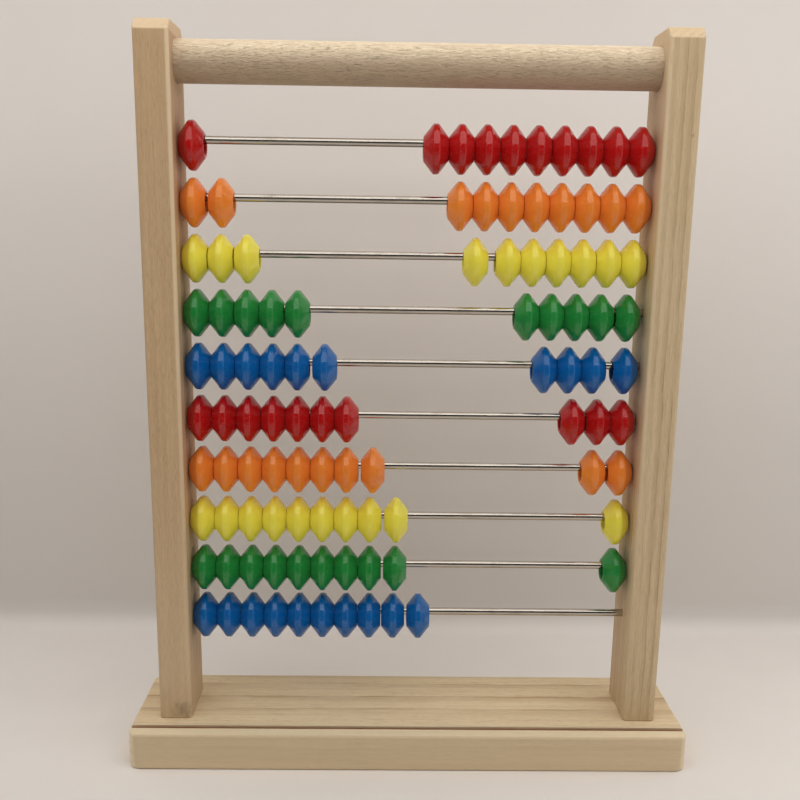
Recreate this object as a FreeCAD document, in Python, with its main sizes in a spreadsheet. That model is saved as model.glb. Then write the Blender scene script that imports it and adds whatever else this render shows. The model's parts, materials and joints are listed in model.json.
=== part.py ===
import FreeCAD, Part
import math
import os
import Sketcher

# Counting frame: a flat base board, two upright posts, a round carry handle and ten steel
# rods strung with double-cone beads. Millimetres, +Z up, +X to the right, front towards -Y.
# The origin is the centre of the base board's underside.

doc = FreeCAD.newDocument("CountingFrame")
sheet = doc.addObject("Spreadsheet::Sheet", "Dimensions")

dimensions = [
    ("baseWidth", 300.0, "base board, left to right"),
    ("baseDepth", 74.0, "base board, front to back"),
    ("baseThickness", 20.0, "base board thickness"),
    ("baseCornerRadius", 6.5, "rounding of the board's upright corners"),
    ("baseEdgeRadius", 1.3, "easing of the board's top and bottom edges"),
    ("slotWidth", 3.4, "card slot across the front of the board"),
    ("slotDepth", 6.0, "card slot depth"),
    ("slotOffset", 27.4, "card slot, from the rods' plane towards the front"),
    ("frameHeight", 380.0, "floor to the top of the posts"),
    ("innerWidth", 237.7, "clear width between the posts"),
    ("postWidth", 17.4, "post, left to right"),
    ("postDepth", 36.4, "post, front to back"),
    ("postEdgeRadius", 2.2, "rounding of the posts' upright edges"),
    ("postTopChamfer", 5.4, "slope at the front and back of a post's top"),
    ("postTopEase", 0.8, "rounding of the posts' top rim"),
    ("postFootEase", 0.5, "bevel round the posts' feet"),
    ("handleDiameter", 20.8, "carry handle"),
    ("handleHeight", 362.7, "floor to the handle's centre line"),
    ("handleSeatDepth", 6.0, "handle socket in each post"),
    ("handleSeatPlay", 0.25, "radial room round the handle in its socket"),
    ("rodDiameter", 4.0, "bead rod"),
    ("rodTopHeight", 325.9, "floor to the top rod's centre line"),
    ("rodPitch", 27.7, "rod to rod"),
    ("rodCount", 10, "number of rods"),
    ("rodSeatDepth", 11.0, "blind rod hole in each post"),
    ("rodSeatPlay", 0.05, "radial room round a rod in its hole"),
    ("rodSeatBevel", 0.4, "bevel at the mouth of a rod's hole"),
    ("endPlay", 0.3, "room beyond the end of a rod, the handle or a screw"),
    ("beadDiameter", 24.7, "bead, at its crown"),
    ("beadThickness", 12.7, "bead, along the rod"),
    ("beadHoleDiameter", 9.6, "hole through a bead"),
    ("beadMouthChamfer", 0.5, "bevel at the mouth of a bead's hole"),
    ("beadLandDiameter", 11.1, "flat end face of a bead, outer edge"),
    ("beadShoulderRadius", 1.2, "rounding from the end face to the flank"),
    ("beadCrownRadius", 1.8, "rounding from the flank to the crown"),
    ("beadCrownFlat", 0.9, "flat band round the crown"),
    ("beadRest", 0.05, "a hanging bead, above its rod"),
    ("beadPitch", 12.85, "bead to bead within a touching stack"),
    ("screwDiameter", 4.0, "wood screw shank"),
    ("screwHeadDiameter", 8.0, "countersunk head"),
    ("screwHeadHeight", 2.4, "countersunk head, rim to shank"),
    ("screwTipLength", 5.0, "pointed end"),
    ("screwHolePlay", 0.1, "radial room round a screw shank"),
    ("screwHeadSink", 0.4, "head below the wood's surface"),
    ("postScrewLength", 45.0, "screws up through the base board"),
    ("postScrewSpacing", 18.0, "the two screws of one post, front to back"),
    ("handleScrewLength", 40.0, "screws through the posts into the handle"),
    ("recessLength", 4.4, "cross recess, tip to tip"),
    ("recessWidth", 0.9, "cross recess, arm width"),
    ("recessDepth", 1.6, "cross recess depth"),
    ("cutPast", 1.0, "how far a cut runs past the face that it opens"),
]

# Stacks of touching beads on each rod, from a post inwards: room in front of the stack, and
# how many beads it holds.
rows = [
    ("red", [(0.3, 1)], [(0.3, 9)]),
    ("orange", [(0.3, 1), (1.3, 1)], [(0.4, 8)]),
    ("yellow", [(0.3, 1), (0.4, 1), (0.6, 1)], [(0.9, 6), (3.8, 1)]),
    ("green", [(0.3, 4), (0.6, 1)], [(2.1, 1), (1.0, 4)]),
    ("blue", [(0.3, 5), (1.7, 1)], [(1.6, 1), (3.9, 3)]),
    ("red", [(0.3, 5), (0.4, 2)], [(1.4, 2), (0.8, 1)]),
    ("orange", [(0.5, 7), (1.4, 1)], [(1.1, 1), (1.5, 1)]),
    ("yellow", [(0.3, 8), (1.5, 1)], [(1.2, 1)]),
    ("green", [(0.3, 8), (1.2, 1)], [(0.6, 1)]),
    ("blue", [(0.3, 8), (0.4, 1), (1.3, 1)], []),
]


def gapAlias(row, side, index):
    return f"gapRow{row:02d}{side.capitalize()}{index}"


for row, (colour, left, right) in enumerate(rows, 1):
    for side, stacks in (("left", left), ("right", right)):
        for index, (gap, count) in enumerate(stacks, 1):
            dimensions.append((gapAlias(row, side, index), gap, "room beside a stack of beads"))

for line, (alias, value, note) in enumerate(dimensions, 1):
    sheet.set(f"A{line}", alias)
    sheet.set(f"B{line}", str(value))
    sheet.set(f"C{line}", note)
    sheet.setAlias(f"B{line}", alias)
doc.recompute()


def size(alias):
    return float(sheet.get(alias))


# Helpers

subParts = []
roughSize = 10.0   # first guess for a sketched line, before its constraints set it
tolerance = 1e-4   # two measures closer than this are the same
leastCut = 0.01    # a cut that removes less than this volume has missed
postReach = "(Dimensions.innerWidth + Dimensions.postWidth) / 2"


def newBody(name):
    body = doc.addObject("PartDesign::Body", name)
    body.Label = name
    body.AllowCompound = True
    subParts.append(body)
    return body


def placeAt(item, x="0", y="0", z="0"):
    # The place follows the sheet: each coordinate is an expression.
    for axis, expression in (("x", x), ("y", y), ("z", z)):
        item.setExpression(f"Placement.Base.{axis}", expression)


def newSketch(body, role, name, offset=None):
    sketch = body.newObject("Sketcher::SketchObject", name)
    plane = [item for item in body.Origin.OriginFeatures if item.Role == role][0]
    sketch.AttachmentSupport = [(plane, "")]
    sketch.MapMode = "FlatFace"
    if offset:
        sketch.setExpression("AttachmentOffset.Base.z", offset)
    return sketch


def bind(sketch, constraint, name, expression):
    index = sketch.addConstraint(constraint)
    sketch.renameConstraint(index, name)
    sketch.setExpression(f"Constraints.{name}", expression)


def addRectangle(sketch, width, depth, centre=None):
    # A rectangle about the sketch's origin, or about a point (offset along the H axis, height
    # of its lower edge), with its width and depth bound to expressions.
    low, high = -roughSize, roughSize
    corners = [(low, low), (high, low), (high, high), (low, high)]
    for start, end in zip(corners, corners[1:] + corners[:1]):
        line = Part.LineSegment(FreeCAD.Vector(*start, 0), FreeCAD.Vector(*end, 0))
        sketch.addGeometry(line, False)
    for side in range(4):
        sketch.addConstraint(Sketcher.Constraint("Coincident", side, 2, (side + 1) % 4, 1))
    for side, direction in enumerate(("Horizontal", "Vertical", "Horizontal", "Vertical")):
        sketch.addConstraint(Sketcher.Constraint(direction, side))
    bind(sketch, Sketcher.Constraint("DistanceX", 0, 1, 0, 2, high - low), "across", width)
    bind(sketch, Sketcher.Constraint("DistanceY", 1, 1, 1, 2, high - low), "along", depth)
    if centre is None:
        sketch.addConstraint(Sketcher.Constraint("Symmetric", 0, 1, 1, 2, -1, 1))
    else:
        bind(sketch, Sketcher.Constraint("DistanceX", -1, 1, 0, 1, low), "edge", centre[0])
        bind(sketch, Sketcher.Constraint("DistanceY", -1, 1, 0, 1, low), "floor", centre[1])


def addCircle(sketch, diameter, x=None, y=None, tag="hole"):
    # A circle whose centre is at (x, y); a coordinate left out is 0.
    centre = FreeCAD.Vector(roughSize if x else 0, roughSize if y else 0, 0)
    circle = sketch.addGeometry(Part.Circle(centre, FreeCAD.Vector(0, 0, 1), roughSize / 2), False)
    bind(sketch, Sketcher.Constraint("Diameter", circle, roughSize), f"{tag}Diameter", diameter)
    if x:
        bind(sketch, Sketcher.Constraint("DistanceX", -1, 1, circle, 3, roughSize), f"{tag}X", x)
    else:
        sketch.addConstraint(Sketcher.Constraint("PointOnObject", circle, 3, -2))
    if y:
        bind(sketch, Sketcher.Constraint("DistanceY", -1, 1, circle, 3, roughSize), f"{tag}Y", y)
    else:
        sketch.addConstraint(Sketcher.Constraint("PointOnObject", circle, 3, -1))


def addPad(body, sketch, length, name):
    pad = body.newObject("PartDesign::Pad", name)
    pad.Profile = sketch
    pad.setExpression("Length", length)
    return pad


def addPocket(body, sketch, length, name, backwards=False, midplane=False):
    # A pocket has to take material away, or it points the wrong way.
    doc.recompute()
    before = body.Shape.Volume
    pocket = body.newObject("PartDesign::Pocket", name)
    pocket.Profile = sketch
    pocket.Reversed = backwards
    pocket.Midplane = midplane
    pocket.setExpression("Length", length)
    doc.recompute()
    if not body.Shape.Volume < before - leastCut:
        raise RuntimeError(f"{name} cuts nothing")
    return pocket


def edgesWhere(shape, test):
    return [f"Edge{index}" for index, edge in enumerate(shape.Edges, 1) if test(edge)]


def runsAlong(edge, axis):
    first, last = edge.Vertexes[0].Point, edge.Vertexes[-1].Point
    span = last.sub(first)
    return span.Length > tolerance and abs(abs(getattr(span, axis)) - span.Length) < tolerance


def liesAt(edge, axis, value):
    low = getattr(edge.BoundBox, axis + "Min")
    high = getattr(edge.BoundBox, axis + "Max")
    return abs(low - value) < tolerance and abs(high - value) < tolerance


def isMouthAt(edge, x):
    return edge.isClosed() and liesAt(edge, "X", x)


def addEdgeFeature(body, kind, base, test, sizes, name):
    doc.recompute()
    feature = body.newObject(f"PartDesign::{kind}", name)
    feature.Base = (base, edgesWhere(base.Shape, test))
    for prop, expression in sizes.items():
        feature.setExpression(prop, expression)
    doc.recompute()
    return feature


# Base board

def buildBaseBoard():
    body = newBody("base_board")
    outline = newSketch(body, "XY_Plane", "board_outline")
    addRectangle(outline, "Dimensions.baseWidth", "Dimensions.baseDepth")
    board = addPad(body, outline, "Dimensions.baseThickness", "board")
    corners = addEdgeFeature(body, "Fillet", board, lambda edge: runsAlong(edge, "z"),
                             {"Radius": "Dimensions.baseCornerRadius"}, "board_corners")
    top = size("baseThickness")
    rims = addEdgeFeature(body, "Fillet", corners,
                          lambda edge: liesAt(edge, "Z", top) or liesAt(edge, "Z", 0),
                          {"Radius": "Dimensions.baseEdgeRadius"}, "board_rims")
    body.Tip = rims
    slot = newSketch(body, "YZ_Plane", "slot_section")
    addRectangle(slot, "Dimensions.slotWidth", "Dimensions.slotDepth + Dimensions.cutPast",
                 ("-Dimensions.slotOffset - Dimensions.slotWidth / 2",
                  "Dimensions.baseThickness - Dimensions.slotDepth"))
    addPocket(body, slot, "Dimensions.baseWidth + 2 * Dimensions.cutPast", "card_slot", midplane=True)
    # Four countersunk holes from beneath, two under each post.
    shanks = newSketch(body, "XY_Plane", "screw_shank_holes")
    for index, (x, y) in enumerate(postScrewPlaces(), 1):
        addCircle(shanks, "Dimensions.screwDiameter + 2 * Dimensions.screwHolePlay", x, y,
                  f"shank{index}")
    addPocket(body, shanks, "Dimensions.baseThickness + Dimensions.cutPast", "screw_shanks", backwards=True)
    addCountersink(body, "XY_Plane", None, postScrewPlaces(), "screw_seat")
    return body


def postScrewPlaces():
    half = "Dimensions.postScrewSpacing / 2"
    return [(f"{signX}{postReach}", f"{signY}{half}") for signX in ("-", "") for signY in ("-", "")]


def headSlope():
    # How much a countersunk head's radius shrinks for each millimetre of its height.
    return ("((Dimensions.screwHeadDiameter - Dimensions.screwDiameter) / 2"
            " / Dimensions.screwHeadHeight)")


def addCountersink(body, role, offset, places, name):
    # Conical seats, parallel to the heads and one play away from them.
    mouth = ("Dimensions.screwHeadDiameter + 2 * Dimensions.screwHolePlay"
             f" + 2 * Dimensions.screwHeadSink * {headSlope()}")
    for index, (x, y) in enumerate(places, 1):
        circle = newSketch(body, role, f"{name}_circle_{index}", offset)
        addCircle(circle, mouth, x, y)
        depth = "Dimensions.screwHeadHeight + Dimensions.screwHeadSink"
        seat = addPocket(body, circle, depth, f"{name}_{index}", backwards=True)
        seat.setExpression("TaperAngle", f"-atan({headSlope()})")


# Posts

def buildPost(name):
    # The post's own frame: its centre at the foot, its inner face towards +X.
    body = newBody(name)
    section = newSketch(body, "XY_Plane", f"{name}_section")
    addRectangle(section, "Dimensions.postWidth", "Dimensions.postDepth")
    height = "Dimensions.frameHeight - Dimensions.baseThickness"
    post = addPad(body, section, height, f"{name}_blank")
    edges = addEdgeFeature(body, "Fillet", post, lambda edge: runsAlong(edge, "z"),
                           {"Radius": "Dimensions.postEdgeRadius"}, f"{name}_edges")
    slopeFoot = size("frameHeight") - size("baseThickness") - size("postTopChamfer")
    body.Tip = edges
    # The slopes are cut by two wedges that run the full width of the post.
    slopes = newSketch(body, "YZ_Plane", f"{name}_slope_sections")
    addSlopes(slopes)
    slopeCut = addPocket(body, slopes, "Dimensions.postWidth + 2 * Dimensions.cutPast", f"{name}_slopes",
                         midplane=True)
    rim = addEdgeFeature(body, "Fillet", slopeCut,
                         lambda edge: edge.BoundBox.ZMin > slopeFoot + size("postTopEase") / 2,
                         {"Radius": "Dimensions.postTopEase"}, f"{name}_rim")
    foot = addEdgeFeature(body, "Chamfer", rim, lambda edge: liesAt(edge, "Z", 0),
                          {"Size": "Dimensions.postFootEase"}, f"{name}_foot_rim")
    body.Tip = foot
    inner = "Dimensions.postWidth / 2"
    rodHole = newSketch(body, "YZ_Plane", f"{name}_rod_hole", inner)
    lowest = ("Dimensions.rodTopHeight - Dimensions.baseThickness"
              " - (Dimensions.rodCount - 1) * Dimensions.rodPitch")
    addCircle(rodHole, "Dimensions.rodDiameter + 2 * Dimensions.rodSeatPlay", None, lowest)
    hole = addPocket(body, rodHole, "Dimensions.rodSeatDepth", f"{name}_rod_seat")
    pattern = body.newObject("PartDesign::LinearPattern", f"{name}_rod_seats")
    pattern.Originals = [hole]
    pattern.Direction = (rodHole, ["V_Axis"])
    pattern.Mode = "Spacing"
    pattern.setExpression("Offset", "Dimensions.rodPitch")
    pattern.setExpression("Occurrences", "Dimensions.rodCount")
    body.Tip = pattern
    mouths = addEdgeFeature(body, "Chamfer", pattern,
                            lambda edge: isMouthAt(edge, size("postWidth") / 2),
                            {"Size": "Dimensions.rodSeatBevel"}, f"{name}_rod_mouths")
    body.Tip = mouths
    # Handle socket, the screw that holds the handle, and the screws that hold the foot.
    centre = "Dimensions.handleHeight - Dimensions.baseThickness"
    socket = newSketch(body, "YZ_Plane", f"{name}_handle_circle", inner)
    addCircle(socket, "Dimensions.handleDiameter + 2 * Dimensions.handleSeatPlay", None, centre)
    addPocket(body, socket, "Dimensions.handleSeatDepth", f"{name}_handle_socket")
    shank = newSketch(body, "YZ_Plane", f"{name}_handle_screw_circle")
    addCircle(shank, "Dimensions.screwDiameter + 2 * Dimensions.screwHolePlay", None, centre)
    addPocket(body, shank, "Dimensions.postWidth + 2 * Dimensions.cutPast", f"{name}_handle_screw",
              midplane=True)
    addCountersink(body, "YZ_Plane", f"-({inner})", [(None, centre)], f"{name}_screw_seat")
    feet = newSketch(body, "XY_Plane", f"{name}_foot_circles")
    for index, sign in enumerate(("-", ""), 1):
        addCircle(feet, "Dimensions.screwDiameter + 2 * Dimensions.screwHolePlay", None,
                  f"{sign}Dimensions.postScrewSpacing / 2", f"foot{index}")
    addPocket(body, feet, "Dimensions.postScrewLength + Dimensions.screwHeadSink + Dimensions.endPlay"
              " - Dimensions.baseThickness", f"{name}_foot_screws", backwards=True)
    return body


def addSlopes(sketch):
    # Two right triangles that take the front and back corners off the post's top.
    top = size("frameHeight") - size("baseThickness")
    slope = size("postTopChamfer")
    for number, sign in enumerate((-1, 1)):
        outer = sign * size("postDepth") / 2
        points = [(outer, top - slope), (outer, top), (outer - sign * slope, top)]
        for start, end in zip(points, points[1:] + points[:1]):
            line = Part.LineSegment(FreeCAD.Vector(*start, 0), FreeCAD.Vector(*end, 0))
            sketch.addGeometry(line, False)
        first = 3 * number
        for side in range(3):
            sketch.addConstraint(Sketcher.Constraint("Coincident", first + side, 2,
                                                     first + (side + 1) % 3, 1))
        sketch.addConstraint(Sketcher.Constraint("Vertical", first))
        sketch.addConstraint(Sketcher.Constraint("Horizontal", first + 1))
        tag = "front" if sign < 0 else "back"
        minus = "-" if sign < 0 else ""
        bind(sketch, Sketcher.Constraint("DistanceX", -1, 1, first, 1, outer), f"{tag}Face",
             f"{minus}Dimensions.postDepth / 2")
        bind(sketch, Sketcher.Constraint("DistanceY", -1, 1, first, 2, top), f"{tag}Top",
             "Dimensions.frameHeight - Dimensions.baseThickness")
        bind(sketch, Sketcher.Constraint("DistanceY", first, 1, first, 2, slope), f"{tag}Drop",
             "Dimensions.postTopChamfer")
        ends = (first + 1, 1, first + 1, 2) if sign < 0 else (first + 1, 2, first + 1, 1)
        bind(sketch, Sketcher.Constraint("DistanceX", *ends, slope), f"{tag}Run",
             "Dimensions.postTopChamfer")


# Carry handle

def buildHandle():
    body = newBody("carry_handle")
    circle = newSketch(body, "YZ_Plane", "handle_circle")
    addCircle(circle, "Dimensions.handleDiameter")
    length = ("Dimensions.innerWidth + 2 * Dimensions.handleSeatDepth"
              " - 2 * Dimensions.endPlay")
    dowel = addPad(body, circle, length, "handle_dowel")
    dowel.Midplane = True
    pilot = newSketch(body, "YZ_Plane", "handle_pilot_circle",
                      f"-({length}) / 2")
    addCircle(pilot, "Dimensions.screwDiameter + 2 * Dimensions.screwHolePlay")
    depth = ("Dimensions.handleScrewLength + Dimensions.screwHeadSink - Dimensions.postWidth"
             " + Dimensions.handleSeatDepth")
    hole = addPocket(body, pilot, depth, "handle_pilot", backwards=True)
    mirror = body.newObject("PartDesign::Mirrored", "handle_pilots")
    mirror.Originals = [hole]
    plane = [item for item in body.Origin.OriginFeatures if item.Role == "YZ_Plane"][0]
    mirror.MirrorPlane = (plane, [""])
    body.Tip = mirror
    placeAt(body, z="Dimensions.handleHeight")
    return body


# Rods

def buildRod(row):
    name = f"rod_{row:02d}"
    rod = doc.addObject("Part::Cylinder", name)
    rod.Label = name
    rod.setExpression("Radius", "Dimensions.rodDiameter / 2")
    length = "(Dimensions.innerWidth + 2 * Dimensions.rodSeatDepth - 2 * Dimensions.endPlay)"
    rod.setExpression("Height", length)
    rod.Placement.Rotation = FreeCAD.Rotation(FreeCAD.Vector(0, 1, 0), 90)
    placeAt(rod, x=f"-{length} / 2", z=rodHeight(row))
    subParts.append(rod)
    return rod


def rodHeight(row):
    return f"Dimensions.rodTopHeight - {row - 1} * Dimensions.rodPitch"


# Beads

def addBeadProfile(sketch):
    # Half of the bead's section, in the rod's direction (H) and outwards (V): hole wall,
    # mouth bevel, end face, shoulder arc, flank, crown arc and crown band.
    half = size("beadThickness") / 2
    hole = size("beadHoleDiameter") / 2
    bevel = size("beadMouthChamfer")
    land = size("beadLandDiameter") / 2
    outer = size("beadDiameter") / 2
    shoulder = size("beadShoulderRadius")
    crown = size("beadCrownRadius")
    band = size("beadCrownFlat") / 2
    shoulderX, shoulderY = half - shoulder, land
    crownX, crownY = band, outer - crown
    # The flank touches both arcs: its normal's angle follows from their centres.
    spanX, spanY = shoulderX - crownX, shoulderY - crownY
    distance = math.hypot(spanX, spanY)
    angle = math.atan2(spanY, spanX) + math.acos((crown - shoulder) / distance)
    flankTop = (crownX + crown * math.cos(angle), crownY + crown * math.sin(angle))
    flankEnd = (shoulderX + shoulder * math.cos(angle), shoulderY + shoulder * math.sin(angle))

    def line(start, end):
        segment = Part.LineSegment(FreeCAD.Vector(*start, 0), FreeCAD.Vector(*end, 0))
        return sketch.addGeometry(segment, False)

    def arc(x, y, radius, start, end):
        circle = Part.Circle(FreeCAD.Vector(x, y, 0), FreeCAD.Vector(0, 0, 1), radius)
        return sketch.addGeometry(Part.ArcOfCircle(circle, start, end), False)

    wall = line((0, hole), (half - bevel, hole))
    mouth = line((half - bevel, hole), (half, hole + bevel))
    face = line((half, hole + bevel), (half, land))
    shoulderArc = arc(shoulderX, shoulderY, shoulder, 0, angle)
    flank = line(flankEnd, flankTop)
    crownArc = arc(crownX, crownY, crown, angle, math.pi / 2)
    crownBand = line((band, outer), (0, outer))
    middle = line((0, outer), (0, hole))

    def join(kind, *ends):
        sketch.addConstraint(Sketcher.Constraint(kind, *ends))

    join("Coincident", wall, 2, mouth, 1)
    join("Coincident", mouth, 2, face, 1)
    join("Tangent", face, 2, shoulderArc, 1)
    join("Tangent", shoulderArc, 2, flank, 1)
    join("Tangent", flank, 2, crownArc, 1)
    join("Tangent", crownArc, 2, crownBand, 1)
    join("Coincident", crownBand, 2, middle, 1)
    join("Coincident", middle, 2, wall, 1)
    join("Horizontal", wall)
    join("Horizontal", crownBand)
    join("Vertical", face)
    join("PointOnObject", wall, 1, -2)
    join("PointOnObject", middle, 1, -2)
    bind(sketch, Sketcher.Constraint("DistanceY", -1, 1, wall, 1, hole), "holeRadius",
         "Dimensions.beadHoleDiameter / 2")
    bind(sketch, Sketcher.Constraint("DistanceX", -1, 1, face, 1, half), "halfThickness",
         "Dimensions.beadThickness / 2")
    bind(sketch, Sketcher.Constraint("DistanceX", wall, 2, mouth, 2, bevel), "bevelRun",
         "Dimensions.beadMouthChamfer")
    bind(sketch, Sketcher.Constraint("DistanceY", wall, 2, mouth, 2, bevel), "bevelRise",
         "Dimensions.beadMouthChamfer")
    bind(sketch, Sketcher.Constraint("DistanceY", -1, 1, face, 2, land), "landRadius",
         "Dimensions.beadLandDiameter / 2")
    bind(sketch, Sketcher.Constraint("DistanceY", -1, 1, middle, 1, outer), "outerRadius",
         "Dimensions.beadDiameter / 2")
    bind(sketch, Sketcher.Constraint("DistanceX", -1, 1, crownBand, 1, band), "bandHalf",
         "Dimensions.beadCrownFlat / 2")
    bind(sketch, Sketcher.Constraint("Radius", shoulderArc, shoulder), "shoulderRadius",
         "Dimensions.beadShoulderRadius")
    bind(sketch, Sketcher.Constraint("Radius", crownArc, crown), "crownRadius",
         "Dimensions.beadCrownRadius")


def buildStack(name, count, firstX, row):
    # A stack is one bead, revolved and mirrored, repeated along the rod.
    body = newBody(name)
    sketch = newSketch(body, "XY_Plane", f"{name}_section")
    addBeadProfile(sketch)
    half = body.newObject("PartDesign::Revolution", f"{name}_half")
    half.Profile = sketch
    half.ReferenceAxis = (sketch, ["H_Axis"])
    half.Angle = 360
    doc.recompute()
    whole = body.newObject("PartDesign::Mirrored", f"{name}_bead")
    whole.Originals = [half]
    plane = [item for item in body.Origin.OriginFeatures if item.Role == "YZ_Plane"][0]
    whole.MirrorPlane = (plane, [""])
    body.Tip = whole
    if count > 1:
        doc.recompute()
        pattern = body.newObject("PartDesign::LinearPattern", f"{name}_stack")
        pattern.TransformMode = "Whole shape"
        pattern.Direction = (sketch, ["H_Axis"])
        pattern.Mode = "Spacing"
        pattern.setExpression("Offset", "Dimensions.beadPitch")
        pattern.Occurrences = count
        body.Tip = pattern
    sag = "(Dimensions.beadHoleDiameter - Dimensions.rodDiameter) / 2 - Dimensions.beadRest"
    placeAt(body, x=firstX, z=f"{rodHeight(row)} - ({sag})")
    return body


def buildRow(row, colour, left, right):
    for side, stacks in (("left", left), ("right", right)):
        used = "Dimensions.innerWidth / 2"
        for index, (gap, count) in enumerate(stacks, 1):
            # used: from the middle of the frame to the face that the stack stands off from
            used += f" - Dimensions.{gapAlias(row, side, index)}"
            width = f"({count - 1} * Dimensions.beadPitch + Dimensions.beadThickness)"
            if side == "left":
                firstX = f"-({used}) + Dimensions.beadThickness / 2"
            else:
                firstX = f"{used} - {width} + Dimensions.beadThickness / 2"
            name = f"row_{row:02d}_{colour}_{side}_{index}"
            buildStack(name, count, firstX, row)
            used += f" - {width}"


# Wood screws

def buildScrew(name, length):
    # The screw's own frame: the centre of its head's top at the origin, pointing along +Z.
    head = doc.addObject("Part::Cone", f"{name}_head")
    head.setExpression("Radius1", "Dimensions.screwHeadDiameter / 2")
    head.setExpression("Radius2", "Dimensions.screwDiameter / 2")
    head.setExpression("Height", "Dimensions.screwHeadHeight")
    shank = doc.addObject("Part::Cylinder", f"{name}_shank")
    shank.setExpression("Radius", "Dimensions.screwDiameter / 2")
    shank.setExpression("Height", f"{length} - Dimensions.screwHeadHeight"
                        " - Dimensions.screwTipLength")
    placeAt(shank, z="Dimensions.screwHeadHeight")
    tip = doc.addObject("Part::Cone", f"{name}_tip")
    tip.setExpression("Radius1", "Dimensions.screwDiameter / 2")
    tip.Radius2 = 0
    tip.setExpression("Height", "Dimensions.screwTipLength")
    placeAt(tip, z=f"{length} - Dimensions.screwTipLength")
    blank = doc.addObject("Part::MultiFuse", f"{name}_blank")
    blank.Shapes = [head, shank, tip]
    arms = []
    for index, (x, y) in enumerate((("recessLength", "recessWidth"),
                                    ("recessWidth", "recessLength")), 1):
        arm = doc.addObject("Part::Box", f"{name}_recess_{index}")
        arm.setExpression("Length", f"Dimensions.{x}")
        arm.setExpression("Width", f"Dimensions.{y}")
        arm.setExpression("Height", "Dimensions.recessDepth + Dimensions.cutPast")
        placeAt(arm, f"-Dimensions.{x} / 2", f"-Dimensions.{y} / 2", "-Dimensions.cutPast")
        arms.append(arm)
    cross = doc.addObject("Part::MultiFuse", f"{name}_cross")
    cross.Shapes = arms
    screw = doc.addObject("Part::Cut", name)
    screw.Base = blank
    screw.Tool = cross
    return screw


def buildScrewGroup(name, screws):
    group = doc.addObject("Part::Compound", name)
    group.Label = name
    group.Links = screws
    subParts.append(group)
    return group


def buildPostScrews():
    screws = []
    for index, (x, y) in enumerate(postScrewPlaces(), 1):
        screw = buildScrew(f"post_screw_{index}", "Dimensions.postScrewLength")
        placeAt(screw, x, y, "Dimensions.screwHeadSink")
        screws.append(screw)
    return buildScrewGroup("post_screws", screws)


def buildHandleScrews():
    screws = []
    face = "(Dimensions.innerWidth / 2 + Dimensions.postWidth - Dimensions.screwHeadSink)"
    for index, (sign, turn) in enumerate((("-", 90), ("", -90)), 1):
        screw = buildScrew(f"handle_screw_{index}", "Dimensions.handleScrewLength")
        screw.Placement.Rotation = FreeCAD.Rotation(FreeCAD.Vector(0, 1, 0), turn)
        placeAt(screw, f"{sign}{face}", "0", "Dimensions.handleHeight")
        screws.append(screw)
    return buildScrewGroup("handle_screws", screws)


# The whole frame

buildBaseBoard()

leftPost = buildPost("left_post")
placeAt(leftPost, x=f"-{postReach}", z="Dimensions.baseThickness")
rightPost = buildPost("right_post")
rightPost.Placement.Rotation = FreeCAD.Rotation(FreeCAD.Vector(0, 0, 1), 180)
placeAt(rightPost, x=postReach, z="Dimensions.baseThickness")

buildHandle()
for row in range(1, int(size("rodCount")) + 1):
    buildRod(row)
buildPostScrews()
buildHandleScrews()
for row, (colour, left, right) in enumerate(rows, 1):
    buildRow(row, colour, left, right)

doc.recompute()

failed = [item.Name for item in doc.Objects
          if "Invalid" in item.State or "Error" in item.State]
if failed:
    raise RuntimeError(f"objects that failed to rebuild: {failed}")
for item in subParts:
    if item.Shape.isNull() or not item.Shape.isValid():
        raise RuntimeError(f"{item.Label} has no valid shape")

os.makedirs("parts", exist_ok=True)
for item in subParts:
    item.Shape.exportStep(f"parts/{item.Label}.step")
    box = item.Shape.BoundBox
    print(f"{item.Label}: {len(item.Shape.Solids)} solids, {item.Shape.Volume:.0f} mm3, "
          f"x {box.XMin:.2f}..{box.XMax:.2f}, y {box.YMin:.2f}..{box.YMax:.2f}, "
          f"z {box.ZMin:.2f}..{box.ZMax:.2f}")
print(f"{len(subParts)} sub-parts written")
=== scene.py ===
import json
import math
import bpy
from mathutils import Matrix, Vector


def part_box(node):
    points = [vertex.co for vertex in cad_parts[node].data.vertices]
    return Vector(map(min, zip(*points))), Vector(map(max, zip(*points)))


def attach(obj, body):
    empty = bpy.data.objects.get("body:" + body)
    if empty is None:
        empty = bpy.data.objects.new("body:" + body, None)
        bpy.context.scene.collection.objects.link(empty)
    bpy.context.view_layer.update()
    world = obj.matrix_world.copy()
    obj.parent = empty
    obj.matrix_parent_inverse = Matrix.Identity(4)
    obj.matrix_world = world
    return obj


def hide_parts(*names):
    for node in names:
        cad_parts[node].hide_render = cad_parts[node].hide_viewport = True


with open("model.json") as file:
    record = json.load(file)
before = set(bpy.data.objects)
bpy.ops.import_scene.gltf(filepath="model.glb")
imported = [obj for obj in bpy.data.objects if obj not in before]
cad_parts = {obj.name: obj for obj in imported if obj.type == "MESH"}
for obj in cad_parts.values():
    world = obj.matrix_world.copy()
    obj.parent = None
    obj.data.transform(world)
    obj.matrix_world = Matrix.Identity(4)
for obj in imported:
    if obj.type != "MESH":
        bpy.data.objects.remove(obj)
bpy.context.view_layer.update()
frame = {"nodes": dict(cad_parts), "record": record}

cadNodes = frame["nodes"]
bodies = frame["record"]["behaviour"]["bodies"]
scene = bpy.context.scene
scene.view_settings.view_transform = "Standard"


def setInputs(tree, node, inputs):
    for name, value in inputs.items():
        if isinstance(value, bpy.types.NodeSocket):
            tree.links.new(value, node.inputs[name])
        else:
            node.inputs[name].default_value = value


def addNode(tree, kind, inputs=None, **settings):
    node = tree.nodes.new(kind)
    for name, value in settings.items():
        setattr(node, name, value)
    setInputs(tree, node, inputs or {})
    return node


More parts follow.
